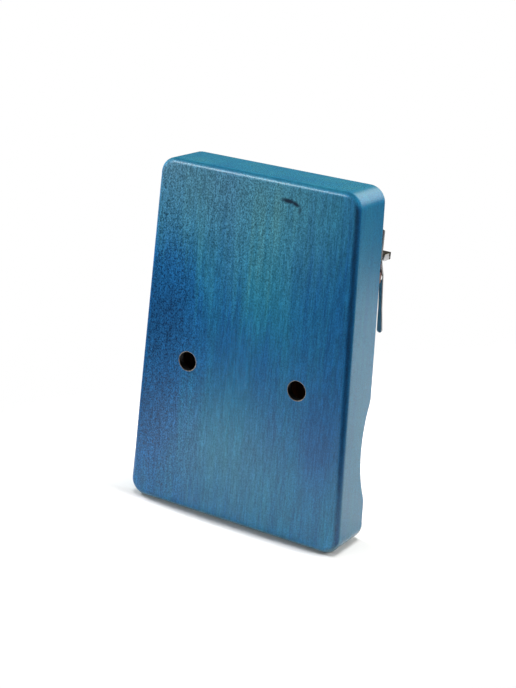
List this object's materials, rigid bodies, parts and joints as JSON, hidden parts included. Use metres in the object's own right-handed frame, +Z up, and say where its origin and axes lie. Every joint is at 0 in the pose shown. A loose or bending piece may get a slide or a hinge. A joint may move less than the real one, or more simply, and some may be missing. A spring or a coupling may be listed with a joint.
{
  "type": "kalimba",
  "caption": "Hollow wooden thumb piano: spring-steel tines over a bridge, held by a screwed pressure bar, with a front sound hole, back tone holes and palm scallops in the sides.",
  "frame": {"origin": "centre of the flat bottom end, on which it stands", "axes": "+Z up along the body from the bottom end to the bridge end, -Y out of the front with the tines, +Y out of the back, +X to the player's right"},
  "size_m": [0.1264, 0.0501, 0.185],
  "materials": {
    "stained_wood": "blue stain under satin lacquer",
    "bare_wood": "unfinished",
    "brown_wood": "oiled hardwood",
    "polished_steel": "polished plating",
    "spring_steel": "polished spring steel"
  },
  "bodies": {
    "body": {"sound_box": "stained_wood", "back_board": "stained_wood", "bridge_brace": "bare_wood", "bridge": "brown_wood", "bridge_rod": "polished_steel", "backrest": "brown_wood", "backrest_rod": "polished_steel", "pressure_bar": "polished_steel", "pressure_screws": "polished_steel"},
    "key_01": {"tine_01": "spring_steel"},
    "key_02": {"tine_02": "spring_steel"},
    "key_03": {"tine_03": "spring_steel"},
    "key_04": {"tine_04": "spring_steel"},
    "key_05": {"tine_05": "spring_steel"},
    "key_06": {"tine_06": "spring_steel"},
    "key_07": {"tine_07": "spring_steel"},
    "key_08": {"tine_08": "spring_steel"},
    "key_09": {"tine_09": "spring_steel"},
    "key_10": {"tine_10": "spring_steel"},
    "key_11": {"tine_11": "spring_steel"},
    "key_12": {"tine_12": "spring_steel"},
    "key_13": {"tine_13": "spring_steel"},
    "key_14": {"tine_14": "spring_steel"},
    "key_15": {"tine_15": "spring_steel"},
    "key_16": {"tine_16": "spring_steel"},
    "key_17": {"tine_17": "spring_steel"}
  },
  "joints": [
    {"name": "pluck_01", "type": "hinge", "parent": "body", "child": "key_01", "pos_m": [-0.0536, -0.0219, 0.1374], "axis": [1, 0, 0], "range_deg": [-1.5, 1.5], "stiffness_Nm_per_rad": 8.01},
    {"name": "pluck_02", "type": "hinge", "parent": "body", "child": "key_02", "pos_m": [-0.0469, -0.0219, 0.1374], "axis": [1, 0, 0], "range_deg": [-1.5, 1.5], "stiffness_Nm_per_rad": 7.35},
    {"name": "pluck_03", "type": "hinge", "parent": "body", "child": "key_03", "pos_m": [-0.0402, -0.0219, 0.1374], "axis": [1, 0, 0], "range_deg": [-1.5, 1.5], "stiffness_Nm_per_rad": 6.55},
    {"name": "pluck_04", "type": "hinge", "parent": "body", "child": "key_04", "pos_m": [-0.0335, -0.0219, 0.1374], "axis": [1, 0, 0], "range_deg": [-1.5, 1.5], "stiffness_Nm_per_rad": 6},
    {"name": "pluck_05", "type": "hinge", "parent": "body", "child": "key_05", "pos_m": [-0.0268, -0.0219, 0.1374], "axis": [1, 0, 0], "range_deg": [-1.5, 1.5], "stiffness_Nm_per_rad": 5.35},
    {"name": "pluck_06", "type": "hinge", "parent": "body", "child": "key_06", "pos_m": [-0.0201, -0.0219, 0.1374], "axis": [1, 0, 0], "range_deg": [-1.5, 1.5], "stiffness_Nm_per_rad": 4.91},
    {"name": "pluck_07", "type": "hinge", "parent": "body", "child": "key_07", "pos_m": [-0.0134, -0.0219, 0.1374], "axis": [1, 0, 0], "range_deg": [-1.5, 1.5], "stiffness_Nm_per_rad": 4.37},
    {"name": "pluck_08", "type": "hinge", "parent": "body", "child": "key_08", "pos_m": [-0.0067, -0.0219, 0.1374], "axis": [1, 0, 0], "range_deg": [-1.5, 1.5], "stiffness_Nm_per_rad": 4.01},
    {"name": "pluck_09", "type": "hinge", "parent": "body", "child": "key_09", "pos_m": [0, -0.0219, 0.1374], "axis": [1, 0, 0], "range_deg": [-1.5, 1.5], "stiffness_Nm_per_rad": 3.78},
    {"name": "pluck_10", "type": "hinge", "parent": "body", "child": "key_10", "pos_m": [0.0067, -0.0219, 0.1374], "axis": [1, 0, 0], "range_deg": [-1.5, 1.5], "stiffness_Nm_per_rad": 4.25},
    {"name": "pluck_11", "type": "hinge", "parent": "body", "child": "key_11", "pos_m": [0.0134, -0.0219, 0.1374], "axis": [1, 0, 0], "range_deg": [-1.5, 1.5], "stiffness_Nm_per_rad": 4.63},
    {"name": "pluck_12", "type": "hinge", "parent": "body", "child": "key_12", "pos_m": [0.0201, -0.0219, 0.1374], "axis": [1, 0, 0], "range_deg": [-1.5, 1.5], "stiffness_Nm_per_rad": 5.2},
    {"name": "pluck_13", "type": "hinge", "parent": "body", "child": "key_13", "pos_m": [0.0268, -0.0219, 0.1374], "axis": [1, 0, 0], "range_deg": [-1.5, 1.5], "stiffness_Nm_per_rad": 5.67},
    {"name": "pluck_14", "type": "hinge", "parent": "body", "child": "key_14", "pos_m": [0.0335, -0.0219, 0.1374], "axis": [1, 0, 0], "range_deg": [-1.5, 1.5], "stiffness_Nm_per_rad": 6.18},
    {"name": "pluck_15", "type": "hinge", "parent": "body", "child": "key_15", "pos_m": [0.0402, -0.0219, 0.1374], "axis": [1, 0, 0], "range_deg": [-1.5, 1.5], "stiffness_Nm_per_rad": 6.94},
    {"name": "pluck_16", "type": "hinge", "parent": "body", "child": "key_16", "pos_m": [0.0469, -0.0219, 0.1374], "axis": [1, 0, 0], "range_deg": [-1.5, 1.5], "stiffness_Nm_per_rad": 7.56},
    {"name": "pluck_17", "type": "hinge", "parent": "body", "child": "key_17", "pos_m": [0.0536, -0.0219, 0.1374], "axis": [1, 0, 0], "range_deg": [-1.5, 1.5], "stiffness_Nm_per_rad": 8.49}
  ]
}
